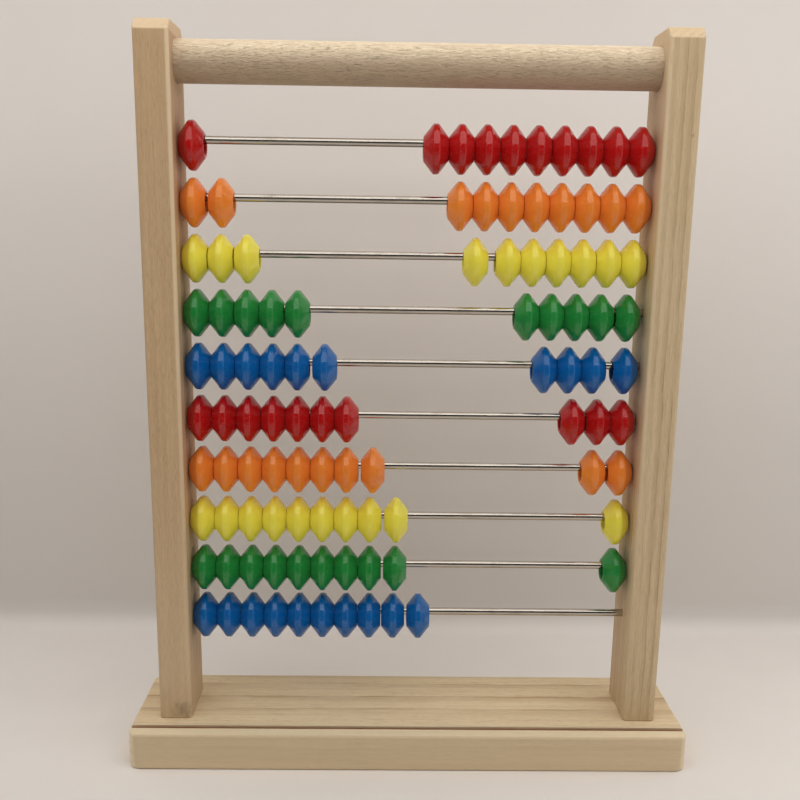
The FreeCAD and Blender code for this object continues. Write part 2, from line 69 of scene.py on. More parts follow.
def calculate(tree, operation, first, second=0.0, clamp=False):
    node = addNode(tree, "ShaderNodeMath", {0: first, 1: second}, operation=operation, use_clamp=clamp)
    return node.outputs[0]


def measure(tree, operation, first, second=(0, 0, 0)):
    # The vector operations whose answer is a number: length and distance.
    node = addNode(tree, "ShaderNodeVectorMath", {0: first, 1: second}, operation=operation)
    return node.outputs["Value"]


def splitVector(tree, vector):
    return addNode(tree, "ShaderNodeSeparateXYZ", {0: vector}).outputs


def joinVector(tree, x, y, z=0.0):
    return addNode(tree, "ShaderNodeCombineXYZ", {0: x, 1: y, 2: z}).outputs[0]


def blendColours(tree, amount, first, second):
    return addNode(tree, "ShaderNodeMix", {0: amount, 6: first, 7: second}, data_type="RGBA").outputs[2]


def ease(tree, value, low, high, start=0.0, end=1.0, curve="SMOOTHSTEP"):
    inputs = {0: value, 1: low, 2: high, 3: start, 4: end}
    return addNode(tree, "ShaderNodeMapRange", inputs, interpolation_type=curve).outputs[0]


def stretch(tree, vector, scale=(1, 1, 1), turn=(0, 0, 0), shift=(0, 0, 0)):
    turned = [math.radians(angle) for angle in turn]
    return addNode(tree, "ShaderNodeMapping", {0: vector, 1: shift, 2: turned, 3: scale}).outputs[0]


def noise(tree, vector, detail=2.0, roughness=0.5, distortion=0.0):
    inputs = {
        "Vector": vector, "Scale": 1.0, "Detail": detail, "Roughness": roughness, "Distortion": distortion,
    }
    return addNode(tree, "ShaderNodeTexNoise", inputs).outputs[0]


def startGroup(name, inputs, outputs):
    tree = bpy.data.node_groups.new(name, "ShaderNodeTree")
    kinds = {float: "NodeSocketFloat", tuple: "NodeSocketColor", None: "NodeSocketVector"}
    for label, value in inputs.items():
        kind = None if value is None else type(value)
        socket = tree.interface.new_socket(label, in_out="INPUT", socket_type=kinds[kind])
        if value is not None:
            socket.default_value = value
    for label, kind in outputs.items():
        tree.interface.new_socket(label, in_out="OUTPUT", socket_type=kinds[kind])
    return tree, tree.nodes.new("NodeGroupInput").outputs, tree.nodes.new("NodeGroupOutput")


def useGroup(tree, group, inputs):
    return addNode(tree, "ShaderNodeGroup", inputs, node_tree=group).outputs


def startMaterial(name):
    material = bpy.data.materials.new(name)
    material.use_nodes = True
    tree = material.node_tree
    tree.nodes.clear()
    place = tree.nodes.new("ShaderNodeTexCoord").outputs["Object"]
    return material, tree, place


def addShader(tree, inputs, height, bumpDistance, bumpStrength):
    bumpInputs = {"Strength": bumpStrength, "Distance": bumpDistance, "Height": height}
    bump = addNode(tree, "ShaderNodeBump", bumpInputs).outputs[0]
    return addNode(tree, "ShaderNodeBsdfPrincipled", {**inputs, "Normal": bump}).outputs[0]


def finishMaterial(tree, surface):
    addNode(tree, "ShaderNodeOutputMaterial", {"Surface": surface})


# How many times each pattern repeats in a metre: across the grain twice, then along it.
woodGrain = {
    "drift": (30, 30, 2.6), "ripple": (70, 70, 30), "rippleAmount": 0.6,
    "patches": (120, 120, 22), "streaks": (420, 420, 9), "fibres": (1900, 1900, 130),
    "pores": (2900, 2900, 260),
}


def makeSawnWood(grain):
    # Place has the grain along Z and the tree's heart on the Z axis, in metres.
    tree, given, result = startGroup("sawnWood", {
        "Place": None, "Light": (0.7, 0.55, 0.37, 1.0), "Dark": (0.45, 0.3, 0.17, 1.0),
        "Pore": (0.3, 0.18, 0.1, 1.0), "Ring Width": 0.003, "Ring Start": 0.0, "Ring Drift": 0.004,
        "Ring Contrast": 0.5, "Fibre Contrast": 0.3, "Pore Amount": 0.4,
    }, {"Colour": tuple, "Roughness": float, "Height": float})
    place = given["Place"]
    drift = calculate(tree, "SUBTRACT", noise(tree, stretch(tree, place, grain["drift"])), 0.5)
    ripple = noise(tree, stretch(tree, place, grain["ripple"]), 3.0, 0.6)
    ripple = calculate(tree, "MULTIPLY", calculate(tree, "SUBTRACT", ripple, 0.5), grain["rippleAmount"])
    drift = calculate(tree, "MULTIPLY", calculate(tree, "ADD", drift, ripple), given["Ring Drift"])
    reach = measure(tree, "LENGTH", stretch(tree, place, (1, 1, 0)))
    reach = calculate(tree, "ADD", calculate(tree, "ADD", reach, drift), given["Ring Start"])
    rings = calculate(tree, "DIVIDE", reach, given["Ring Width"])
    phase = calculate(tree, "FRACT", rings)
    number = calculate(tree, "FLOOR", rings)
    ringTone = addNode(tree, "ShaderNodeTexWhiteNoise", {"W": number}, noise_dimensions="1D").outputs["Value"]
    # Late wood darkens slowly through the ring, has a thin dark edge and stops at once.
    slow = calculate(tree, "MULTIPLY", ease(tree, phase, 0.25, 0.95), 0.5)
    thin = calculate(tree, "MULTIPLY", ease(tree, phase, 0.80, 0.95), 0.5)
    stop = ease(tree, phase, 0.91, 1.0, 1.0, 0.0)
    late = calculate(tree, "MULTIPLY", calculate(tree, "ADD", slow, thin), stop)
    late = calculate(tree, "MULTIPLY", late, ease(tree, ringTone, 0.0, 1.0, 0.15, 1.0, "LINEAR"))
    # Each ring is darker in some places than in others.
    patchy = noise(tree, stretch(tree, place, grain["patches"]), 3.0, 0.6)
    late = calculate(tree, "MULTIPLY", late, ease(tree, patchy, 0.34, 0.62, 0.35, 1.0))
    streaks = noise(tree, stretch(tree, place, grain["streaks"]), 3.0, 0.6)
    fibres = noise(tree, stretch(tree, place, grain["fibres"]), 3.0, 0.65)
    pores = noise(tree, stretch(tree, place, grain["pores"]), 1.0)
    pores = calculate(tree, "MULTIPLY", ease(tree, pores, 0.56, 0.74), ease(tree, phase, 0.0, 1.0, 1.0, 0.45))
    threads = calculate(tree, "ADD", ease(tree, streaks, 0.3, 0.72), ease(tree, fibres, 0.32, 0.7))
    threads = calculate(tree, "MULTIPLY", calculate(tree, "MULTIPLY", threads, given["Fibre Contrast"]), 0.5)
    tone = calculate(tree, "MULTIPLY", late, given["Ring Contrast"])
    tone = calculate(tree, "ADD", tone, threads, clamp=True)
    colour = blendColours(tree, tone, given["Light"], given["Dark"])
    poreAmount = calculate(tree, "MULTIPLY", pores, given["Pore Amount"])
    height = calculate(tree, "MULTIPLY", fibres, 0.6)
    setInputs(tree, result, {
        "Colour": blendColours(tree, poreAmount, colour, given["Pore"]),
        "Roughness": ease(tree, fibres, 0.2, 0.8, 0.5, 0.68),
        "Height": calculate(tree, "SUBTRACT", height, calculate(tree, "MULTIPLY", pores, 0.9)),
    })
    return tree


def makeSpot():
    # A soft-edged patch round a point, broken up by noise: smudges and specks.
    tree, given, result = startGroup("spot", {"Place": None, "Centre": None, "Reach": 0.01, "Breakup": 0.5},
                                     {"Mask": float})
    away = measure(tree, "DISTANCE", given["Place"], given["Centre"])
    near = calculate(tree, "SUBTRACT", 1.0, calculate(tree, "DIVIDE", away, given["Reach"]), clamp=True)
    mottle = noise(tree, stretch(tree, given["Place"], (600, 600, 300)), 4.0, 0.65)
    mottle = calculate(tree, "MULTIPLY", ease(tree, mottle, 0.3, 0.7), given["Breakup"])
    mask = calculate(tree, "SUBTRACT", calculate(tree, "MULTIPLY", near, 1.6), mottle, clamp=True)
    setInputs(tree, result, {"Mask": mask})
    return tree


sawnWood = makeSawnWood(woodGrain)
spot = makeSpot()

# The heart is where the tree's middle was, across the grain. Lengths are in metres.
boardWood = {
    "light": (0.92, 0.755, 0.50, 1), "dark": (0.56, 0.38, 0.21, 1), "pore": (0.36, 0.22, 0.12, 1),
    "ringWidth": 0.0142, "ringStart": 0.9412, "ringDrift": 0.0065, "ringContrast": 0.9,
    "fibreContrast": 0.42, "poreAmount": 0.30, "heart": (-0.10, -0.035),
    "burn": (0.46, 0.20, 0.08, 1), "slotFromFront": 0.0096, "slotHalf": 0.0019, "burnFade": 0.0012,
    # The strip colour is a painted highlight and the front fade is painted shade.
    "stripWood": (1.0, 0.90, 0.66, 1), "stripEnd": 0.0150, "stripFade": 0.003, "stripAmount": 0.35,
    "frontFade": (0.0016, 0.0004), "frontAmount": 0.38,
}
# On the posts the darker top and inner side are painted shade, the paler foot and crest painted highlights,
# the inner stripes a painted reflection.
leftPostWood = {
    "light": (0.69, 0.495, 0.29, 1), "dark": (0.41, 0.25, 0.13, 1), "pore": (0.30, 0.17, 0.09, 1),
    "ringWidth": 0.0042, "ringStart": 0.0, "ringDrift": 0.002, "ringContrast": 1.0,
    "fibreContrast": 0.55, "poreAmount": 0.30, "heart": (-0.128, 0.075),
    "edgeWood": (0.88, 0.72, 0.50, 1), "edgeAmount": 0.6, "crestAmount": 0.35,
    "darkTop": 0.22, "paleFoot": 0.30, "flankTone": 0.12,
    "stripe": (0.46, 0.24, 0.16, 1), "stripeAmount": 0.30,
    "smudge": (0.16, 0.12, 0.08, 1), "smudgePlace": (0.00445, 0.0247), "smudgeReach": 0.009,
}
rightPostWood = {
    "light": (0.76, 0.60, 0.38, 1), "dark": (0.42, 0.27, 0.14, 1), "pore": (0.31, 0.19, 0.10, 1),
    "ringWidth": 0.0030, "ringStart": 0.0, "ringDrift": 0.003, "ringContrast": 0.9,
    "fibreContrast": 0.42, "poreAmount": 0.25, "heart": (0.072, 0.052),
    "edgeWood": (0.86, 0.70, 0.48, 1), "edgeAmount": 0.45, "crestAmount": 0.1,
    "darkTop": 0.18, "paleFoot": 0.0, "flankTone": 0.0,
    "stripe": (0.55, 0.31, 0.22, 1), "stripeAmount": 0.25,
    "smudge": (0.16, 0.12, 0.08, 1), "smudgePlace": (0.01415, 0.330), "smudgeReach": 0.0016,
}
# Where the shading of both posts starts and ends.
postZones = {
    "edgeReach": (0.0012, 0.0023), "edgeHeights": (0.06, 0.24), "edgeAtFoot": 0.25,
    "crestDepths": (0.0065, 0.0048), "flankDepths": (0.00065, 0.00015), "flankFromEdge": (0.0012, 0.0036),
    "darkFrom": 0.24, "paleHeights": (0.20, 0.02), "stripes": (300, 420, 2.2), "smudgeAmount": 0.45,
}
handleWood = {
    "light": (0.97, 0.82, 0.60, 1), "dark": (0.60, 0.43, 0.26, 1), "pore": (0.34, 0.22, 0.12, 1),
    "ringWidth": 0.0026, "ringStart": 0.0, "ringDrift": 0.002, "ringContrast": 0.32,
    "fibreContrast": 0.45, "poreAmount": 0.40, "heart": (0.012, 0.335), "fuzz": (330, 1250, 1250),
    "under": (0.50, 0.365, 0.245, 1), "underHeights": (0.0066, -0.0040), "underAmount": 0.78,
}


def woodInputs(look, place):
    return {
        "Place": place, "Light": look["light"], "Dark": look["dark"], "Pore": look["pore"],
        "Ring Width": look["ringWidth"], "Ring Start": look["ringStart"], "Ring Drift": look["ringDrift"],
        "Ring Contrast": look["ringContrast"], "Fibre Contrast": look["fibreContrast"],
        "Pore Amount": look["poreAmount"],
    }


def grainAlongX(tree, place, heart):
    # Turns the piece's X into the wood's Z, with the heart at the given y and z.
    part = splitVector(tree, place)
    across = calculate(tree, "SUBTRACT", part[1], heart[0])
    upward = calculate(tree, "SUBTRACT", part[2], heart[1])
    return joinVector(tree, across, upward, part[0])


def finishWood(tree, colour, roughness, height, bumpDistance=0.00012, bumpStrength=0.5):
    inputs = {"Base Color": colour, "Roughness": roughness, "Specular IOR Level": 0.35}
    finishMaterial(tree, addShader(tree, inputs, height, bumpDistance, bumpStrength))


def makeBoardWood(look):
    material, tree, place = startMaterial("paleBoardWood")
    low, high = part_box("base_board")
    wood = useGroup(tree, sawnWood, woodInputs(look, grainAlongX(tree, place, look["heart"])))
    part = splitVector(tree, place)
    # The strip before the slot has a painted highlight and the front face painted shade, to make up for the
    # light.
    stripEnd = low.y + look["stripEnd"]
    strip = ease(tree, part[1], stripEnd, stripEnd - look["stripFade"], 0.0, look["stripAmount"])
    colour = blendColours(tree, strip, wood["Colour"], look["stripWood"])
    fadeStart, fadeEnd = (low.y + depth for depth in look["frontFade"])
    front = ease(tree, part[1], fadeStart, fadeEnd, 0.0, look["frontAmount"])
    colour = blendColours(tree, front, colour, look["dark"])
    # The slot's walls are browner than the board, from just below the mouth down. Their colour is a guess.
    offset = calculate(tree, "SUBTRACT", part[1], low.y + look["slotFromFront"])
    inSlot = calculate(tree, "LESS_THAN", calculate(tree, "ABSOLUTE", offset), look["slotHalf"])
    mouth = high.z - look["burnFade"] / 3
    depth = ease(tree, part[2], mouth - look["burnFade"], mouth, 1.0, 0.0)
    slotMask = calculate(tree, "MULTIPLY", inSlot, depth)
    streak = ease(tree, noise(tree, stretch(tree, place, (60, 400, 900)), 3.0), 0.3, 0.7, 0.65, 1.0)
    colour = blendColours(tree, calculate(tree, "MULTIPLY", slotMask, streak), colour, look["burn"])
    finishWood(tree, colour, wood["Roughness"], wood["Height"])
    return material


def makePostWood(name, nodeName, look, zones):
    material, tree, place = startMaterial(name)
    low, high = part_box(nodeName)
    outward = math.copysign(1.0, low.x)
    inner = low.x if outward > 0 else high.x
    centred = stretch(tree, place, shift=(-look["heart"][0], -look["heart"][1], 0))
    wood = useGroup(tree, sawnWood, woodInputs(look, centred))
    part = splitVector(tree, place)
    # The top has painted shade and the foot a painted highlight, to make up for the light.
    dark = ease(tree, part[2], zones["darkFrom"], high.z, 0.0, look["darkTop"])
    colour = blendColours(tree, dark, wood["Colour"], look["dark"])
    pale = ease(tree, part[2], *zones["paleHeights"], 0.0, look["paleFoot"])
    colour = blendColours(tree, pale, colour, look["edgeWood"])
    # The inner side has reddish stripes, a painted reflection, and on the left post a little painted shade.
    corner = joinVector(tree, calculate(tree, "SUBTRACT", part[0], inner),
                        calculate(tree, "SUBTRACT", part[1], low.y))
    fromEdge = measure(tree, "LENGTH", corner)
    flankStart, flankEnd = (inner + outward * depth for depth in zones["flankDepths"])
    flank = ease(tree, part[0], flankStart, flankEnd)
    flank = calculate(tree, "MULTIPLY", flank, ease(tree, fromEdge, *zones["flankFromEdge"]))
    colour = blendColours(tree, calculate(tree, "MULTIPLY", flank, look["flankTone"]), colour, look["dark"])
    stripes = noise(tree, stretch(tree, place, zones["stripes"]))
    stripes = ease(tree, stripes, 0.46, 0.64, 0.0, look["stripeAmount"])
    colour = blendColours(tree, calculate(tree, "MULTIPLY", flank, stripes), colour, look["stripe"])
    # The inner front edge is paler, less so near the foot, and the crest has a painted highlight.
    edge = ease(tree, fromEdge, *zones["edgeReach"], look["edgeAmount"], 0.0)
    edge = calculate(tree, "MULTIPLY", edge,
                     ease(tree, part[2], *zones["edgeHeights"], zones["edgeAtFoot"], 1.0))
    crestStart, crestEnd = (high.z - depth for depth in zones["crestDepths"])
    crest = ease(tree, part[2], crestStart, crestEnd, 0.0, look["crestAmount"])
    colour = blendColours(tree, calculate(tree, "MAXIMUM", edge, crest), colour, look["edgeWood"])
    sideways, upward = look["smudgePlace"]
    dirt = useGroup(tree, spot, {
        "Place": place, "Centre": (inner + outward * sideways, low.y, upward),
        "Reach": look["smudgeReach"], "Breakup": 0.9,
    })
    dirtAmount = calculate(tree, "MULTIPLY", dirt["Mask"], zones["smudgeAmount"])
    colour = blendColours(tree, dirtAmount, colour, look["smudge"])
    finishWood(tree, colour, wood["Roughness"], wood["Height"])
    return material


def makeHandleWood(look):
    material, tree, place = startMaterial("turnedHandleWood")
    low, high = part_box("carry_handle")
    wood = useGroup(tree, sawnWood, woodInputs(look, grainAlongX(tree, place, look["heart"])))
    # A slightly furry surface of short raised fibres.
    fuzz = noise(tree, stretch(tree, place, look["fuzz"]), 3.0, 0.6, 0.6)
    height = calculate(tree, "ADD", calculate(tree, "MULTIPLY", wood["Height"], 0.5), fuzz)
    colour = blendColours(tree, ease(tree, fuzz, 0.33, 0.58, 0.28, 0.0), wood["Colour"], look["dark"])
    # The underside is darkened in the colour, because this light reaches it too well.
    axis = (low.z + high.z) / 2
    underStart, underEnd = (axis + offset for offset in look["underHeights"])
    below = ease(tree, splitVector(tree, place)[2], underStart, underEnd, 0.0, look["underAmount"])
    colour = blendColours(tree, below, colour, look["under"])
    finishWood(tree, colour, wood["Roughness"], height, 0.0010, 0.9)
    return material


def dressNode(name, material):
    for slot in cadNodes[name].material_slots:
        slot.link = "OBJECT"
        slot.material = material


dressNode("base_board", makeBoardWood(boardWood))
dressNode("left_post", makePostWood("beechLikePostWood", "left_post", leftPostWood, postZones))
dressNode("right_post", makePostWood("stripedPostWood", "right_post", rightPostWood, postZones))
dressNode("carry_handle", makeHandleWood(handleWood))
print("wood finished")


# The underside's facing is the upward part of its normal. The underside colour is a painted dark reflection.
rodSteel = {
    "bright": (0.53, 0.49, 0.435, 1), "stain": (0.34, 0.285, 0.22, 1), "roughness": 0.06,
    "underside": (0.16, 0.135, 0.11, 1), "undersideFacing": (-0.55, -0.93), "undersideAmount": 0.85,
}
screwSteel = {
    "bright": (0.58, 0.56, 0.52, 1), "stain": (0.33, 0.30, 0.26, 1), "roughness": 0.3,
    "underside": (0.45, 0.43, 0.40, 1), "undersideFacing": (-0.55, -0.93), "undersideAmount": 0.85,
}


def makeDrawnSteel():
    tree, given, result = startGroup("drawnSteel", {
        "Place": None, "Bright": (0.6, 0.6, 0.6, 1.0), "Stain": (0.4, 0.4, 0.4, 1.0), "Roughness": 0.2,
    }, {"Colour": tuple, "Roughness": float, "Height": float})
    lines = noise(tree, stretch(tree, given["Place"], (35, 5200, 5200)), 2.0, 0.6)
    cloud = noise(tree, stretch(tree, given["Place"], (70, 260, 260)), 4.0, 0.6)
    stained = ease(tree, cloud, 0.5, 0.75, 0.0, 0.6)
    rough = calculate(tree, "ADD", given["Roughness"], ease(tree, cloud, 0.4, 0.75, 0.0, 0.12))
    setInputs(tree, result, {
        "Colour": blendColours(tree, stained, given["Bright"], given["Stain"]),
        "Roughness": calculate(tree, "ADD", rough, calculate(tree, "MULTIPLY", lines, 0.06)),
        "Height": lines,
    })
    return tree


drawnSteel = makeDrawnSteel()


def makeSteel(name, look):
    material, tree, place = startMaterial(name)
    steel = useGroup(tree, drawnSteel, {
        "Place": place, "Bright": look["bright"], "Stain": look["stain"], "Roughness": look["roughness"],
    })
    # The underside is darkened in the colour, a painted reflection of dark surroundings that this studio
    # lacks.
    facing = tree.nodes.new("ShaderNodeNewGeometry").outputs["Normal"]
    darkReflection = ease(tree, splitVector(tree, facing)[2], *look["undersideFacing"], 0.0, look["undersideAmount"])
    colour = blendColours(tree, darkReflection, steel["Colour"], look["underside"])
    inputs = {"Base Color": colour, "Metallic": 1.0, "Roughness": steel["Roughness"]}
    finishMaterial(tree, addShader(tree, inputs, steel["Height"], 0.00002, 0.35))
    return material


brightRod = makeSteel("drawnRodSteel", rodSteel)
zincScrew = makeSteel("zincScrewSteel", screwSteel)
for name in cadNodes:
    if name.startswith("rod_"):
        dressNode(name, brightRod)
    elif name.endswith("_screws"):
        dressNode(name, zincScrew)
print("steel finished")


# Each family of scratches has its scale and how far it is turned.
beadScratches = (
    ((260, 5200, 5200), (10, 35, 20)), ((5200, 300, 5200), (30, 10, -25)), ((5600, 5600, 240), (25, -20, 0)),
)
beadColours = {
    "red": {"colour": (0.50, 0.006, 0.006, 1), "deep": (0.40, 0.004, 0.004, 1),
            "scuff": (0.75, 0.35, 0.32, 1)},
    "orange": {"colour": (0.92, 0.265, 0.035, 1), "deep": (0.84, 0.21, 0.024, 1),
               "scuff": (0.95, 0.62, 0.42, 1)},
    "yellow": {"colour": (0.94, 0.85, 0.085, 1), "deep": (0.86, 0.75, 0.06, 1),
               "scuff": (0.95, 0.92, 0.55, 1)},
    "green": {"colour": (0.016, 0.27, 0.05, 1), "deep": (0.010, 0.20, 0.034, 1),
              "scuff": (0.35, 0.60, 0.38, 1)},
    "blue": {"colour": (0.001, 0.130, 0.44, 1), "deep": (0.001, 0.098, 0.36, 1),
             "scuff": (0.35, 0.48, 0.70, 1)},
}


def makeMouldedPlastic(scratchFamilies):
    tree, given, result = startGroup("mouldedPlastic", {
        "Place": None, "Colour": (0.5, 0.1, 0.1, 1.0), "Deep": (0.4, 0.05, 0.05, 1.0),
        "Scuff": (0.7, 0.6, 0.6, 1.0), "Scuff Amount": 0.22,
    }, {"Colour": tuple, "Roughness": float, "Height": float})
    place = given["Place"]
    swirl = noise(tree, stretch(tree, place, (90, 90, 90)), 3.0, 0.6, 0.8)
    colour = blendColours(tree, ease(tree, swirl, 0.35, 0.7, 0.0, 0.55), given["Colour"], given["Deep"])
    scratches = 0.0
    for scale, turn in scratchFamilies:
        threads = ease(tree, noise(tree, stretch(tree, place, scale, turn), 0.0), 0.73, 0.80)
        scratches = calculate(tree, "MAXIMUM", scratches, threads)
    patches = ease(tree, noise(tree, stretch(tree, place, (110, 110, 110)), 2.0), 0.56, 0.70)
    chips = ease(tree, noise(tree, stretch(tree, place, (1700, 1700, 1700)), 3.0, 0.7), 0.60, 0.72)
    marks = calculate(tree, "ADD", scratches, calculate(tree, "MULTIPLY", patches, chips), clamp=True)
    marks = calculate(tree, "MULTIPLY", marks, given["Scuff Amount"])
    haze = noise(tree, stretch(tree, place, (230, 230, 230)), 3.0)
    gloss = ease(tree, haze, 0.40, 0.75, 0.055, 0.14)
    setInputs(tree, result, {
        "Colour": blendColours(tree, marks, colour, given["Scuff"]),
        "Roughness": calculate(tree, "ADD", gloss, calculate(tree, "MULTIPLY", marks, 0.5)),
        "Height": calculate(tree, "SUBTRACT", calculate(tree, "MULTIPLY", swirl, 0.35), marks),
    })
    return tree


mouldedPlastic = makeMouldedPlastic(beadScratches)


def makeBeadPlastic(colour, look):
    material, tree, place = startMaterial(colour + "BeadPlastic")
    plastic = useGroup(tree, mouldedPlastic, {
        "Place": place, "Colour": look["colour"], "Deep": look["deep"], "Scuff": look["scuff"],
    })
    inputs = {"Base Color": plastic["Colour"], "Roughness": plastic["Roughness"], "IOR": 1.5}
    finishMaterial(tree, addShader(tree, inputs, plastic["Height"], 0.00006, 0.5))
    return material


beadPlastics = {colour: makeBeadPlastic(colour, look) for colour, look in beadColours.items()}

# The bead's sizes, in metres. The first red bead stands alone, so its box gives the outer ones.
beadLow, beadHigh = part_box("row_01_red_left_1")
bead = {
    "diameter": round(beadHigh.z - beadLow.z, 4), "thickness": round(beadHigh.x - beadLow.x, 4),
    "pitch": 0.01285, "hole": 0.0096, "mouthBevel": 0.0005, "land": 0.0111,
    "shoulderRadius": 0.0012, "crownRadius": 0.0018, "crownBand": 0.0009, "softEdge": 0.00012,
    "segments": 60, "arcSteps": 6, "tilt": 0.25, "seed": 7,
}


def beadCorners(sizes):
    # Where the flank's line meets the end face and the crown's band, before rounding.
    half, outer = sizes["thickness"] / 2, sizes["diameter"] / 2
    shoulder, crown = sizes["shoulderRadius"], sizes["crownRadius"]
    shoulderX, shoulderY = half - shoulder, sizes["land"] / 2
    crownX, crownY = sizes["crownBand"] / 2, outer - crown
    span = math.hypot(shoulderX - crownX, shoulderY - crownY)
    angle = math.atan2(shoulderY - crownY, shoulderX - crownX) + math.acos((crown - shoulder) / span)
    along = math.cos(angle) * shoulderX + math.sin(angle) * shoulderY + shoulder
    landY = (along - math.cos(angle) * half) / math.sin(angle)
    bandX = (along - math.sin(angle) * outer) / math.cos(angle)
    return landY, bandX


def makeBeadTree(sizes):
    tree = bpy.data.node_groups.new("threadedBeads", "GeometryNodeTree")
    tree.interface.new_socket("Bead Centres", in_out="INPUT", socket_type="NodeSocketGeometry")
    landY, bandX = beadCorners(sizes)
    numbers = {
        "Thickness": sizes["thickness"], "Diameter": sizes["diameter"], "Hole": sizes["hole"],
        "Mouth Bevel": sizes["mouthBevel"], "Land Corner": landY, "Crown Corner": bandX,
        "Shoulder Radius": sizes["shoulderRadius"], "Crown Radius": sizes["crownRadius"],
        "Soft Edge": sizes["softEdge"], "Tilt": math.radians(sizes["tilt"]),
    }
    counts = {"Segments": sizes["segments"], "Arc Steps": sizes["arcSteps"], "Seed": sizes["seed"]}
    for kind, values in (("NodeSocketFloat", numbers), ("NodeSocketInt", counts)):
        for label, value in values.items():
            tree.interface.new_socket(label, in_out="INPUT", socket_type=kind).default_value = value
    tree.interface.new_socket("Plastic", in_out="INPUT", socket_type="NodeSocketMaterial")
    tree.interface.new_socket("Beads", in_out="OUTPUT", socket_type="NodeSocketGeometry")
    given = tree.nodes.new("NodeGroupInput").outputs

    # The section: x is outwards from the hole's wall, y along the rod. The second half of its
    # eight corners mirrors the first.
    half = calculate(tree, "MULTIPLY", given["Thickness"], 0.5)
    hole = calculate(tree, "MULTIPLY", given["Hole"], 0.5)
    crownOut = calculate(tree, "SUBTRACT", calculate(tree, "MULTIPLY", given["Diameter"], 0.5), hole)
    landOut = calculate(tree, "SUBTRACT", given["Land Corner"], hole)
    mouthIn = calculate(tree, "SUBTRACT", half, given["Mouth Bevel"])
    corners = [
        (mouthIn, 0.0, given["Soft Edge"], 1), (half, given["Mouth Bevel"], given["Soft Edge"], 1),
        (half, landOut, given["Shoulder Radius"], given["Arc Steps"]),
        (given["Crown Corner"], crownOut, given["Crown Radius"], given["Arc Steps"]),
    ]
    index = tree.nodes.new("GeometryNodeInputIndex").outputs[0]
    where, radius, steps = (
        addNode(tree, "GeometryNodeIndexSwitch", {"Index": index}, data_type=kind)
        for kind in ("VECTOR", "FLOAT", "INT"))
    for switch in (where, radius, steps):
        while len(switch.index_switch_items) < 2 * len(corners):
            switch.index_switch_items.new()
    for number, (along, out, rounding, arcSteps) in enumerate(corners + corners[::-1]):
        if number >= len(corners):
            along = calculate(tree, "MULTIPLY", along, -1.0)
        setInputs(tree, where, {number + 1: joinVector(tree, out, along)})
        setInputs(tree, radius, {number + 1: rounding})
        setInputs(tree, steps, {number + 1: arcSteps})
    chain = addNode(tree, "GeometryNodeCurvePrimitiveCircle", {"Resolution": 2 * len(corners)}, mode="RADIUS")
    placed = addNode(tree, "GeometryNodeSetPosition", {0: chain.outputs[0], "Position": where.outputs[0]})
    rounded = addNode(tree, "GeometryNodeFilletCurve", {
        0: placed.outputs[0], "Count": steps.outputs[0], "Radius": radius.outputs[0]}, mode="POLY")
    section = addNode(tree, "GeometryNodeSubdivideCurve", {0: rounded.outputs[0], "Cuts": 1})

    # The section is swept round the hole, and the ring is turned on to the rod's axis.
    ring = addNode(tree, "GeometryNodeCurvePrimitiveCircle", {
        "Resolution": given["Segments"], "Radius": hole}, mode="RADIUS")
    swept = addNode(tree, "GeometryNodeCurveToMesh", {
        "Curve": ring.outputs[0], "Profile Curve": section.outputs[0]})
    turned = addNode(tree, "GeometryNodeTransform", {0: swept.outputs[0], "Rotation": (0, math.pi / 2, 0)})
    outward = addNode(tree, "GeometryNodeFlipFaces", {0: turned.outputs[0]})
    smooth = addNode(tree, "GeometryNodeSetShadeSmooth", {0: outward.outputs[0]})

    # One bead on every centre, spun and tipped a little at random.
    def randomAngle(low, high, seed):
        return addNode(tree, "FunctionNodeRandomValue", {2: low, 3: high, "Seed": seed},
                       data_type="FLOAT").outputs[1]

    spin = randomAngle(-math.pi, math.pi, given["Seed"])
    leastTip = calculate(tree, "MULTIPLY", given["Tilt"], -1.0)
    tips = [randomAngle(leastTip, given["Tilt"], calculate(tree, "ADD", given["Seed"], step))
            for step in (1, 2)]
    threaded = addNode(tree, "GeometryNodeInstanceOnPoints", {
        0: given["Bead Centres"], "Instance": smooth.outputs[0],
        "Rotation": joinVector(tree, spin, tips[0], tips[1])})
    whole = addNode(tree, "GeometryNodeRealizeInstances", {0: threaded.outputs[0]})
    finished = addNode(tree, "GeometryNodeSetMaterial", {0: whole.outputs[0], "Material": given["Plastic"]})
    addNode(tree, "NodeGroupOutput", {"Beads": finished.outputs[0]})
    return tree


def setModifierInputs(modifier, values):
    for item in modifier.node_group.interface.items_tree:
        if item.item_type == "SOCKET" and item.in_out == "INPUT" and item.name in values:
            modifier[item.identifier] = values[item.name]


def beadCentres(nodeNames, sizes):
    # A node holds one or more beads that touch, so its length gives their number.
    centres = []
    for name in nodeNames:
        low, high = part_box(name)
        count = round((high.x - low.x - sizes["thickness"]) / sizes["pitch"]) + 1
        first, middle = low.x + sizes["thickness"] / 2, (low.z + high.z) / 2
        centres += [(first + number * sizes["pitch"], 0.0, middle) for number in range(count)]
    return centres


beadTree = makeBeadTree(bead)
for rowNumber, (bodyName, members) in enumerate(sorted(bodies.items())):
    if not bodyName.startswith("row_"):
        continue
    colour = members[0].split("_")[2]
    threadMesh = bpy.data.meshes.new(bodyName + "_beads")
    threadMesh.from_pydata(beadCentres(members, bead), [], [])
    row = bpy.data.objects.new(bodyName.replace("_beads", "") + "_threaded", threadMesh)
    scene.collection.objects.link(row)
    modifier = row.modifiers.new("threadedBeads", "NODES")
    modifier.node_group = beadTree
    setModifierInputs(modifier, {"Plastic": beadPlastics[colour], "Seed": bead["seed"] + 10 * rowNumber})
    finished = bpy.data.meshes.new_from_object(row.evaluated_get(bpy.context.evaluated_depsgraph_get()))
    row.modifiers.clear()
    row.data = finished
    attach(row, bodyName)
    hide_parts(*members)
print("beads threaded")


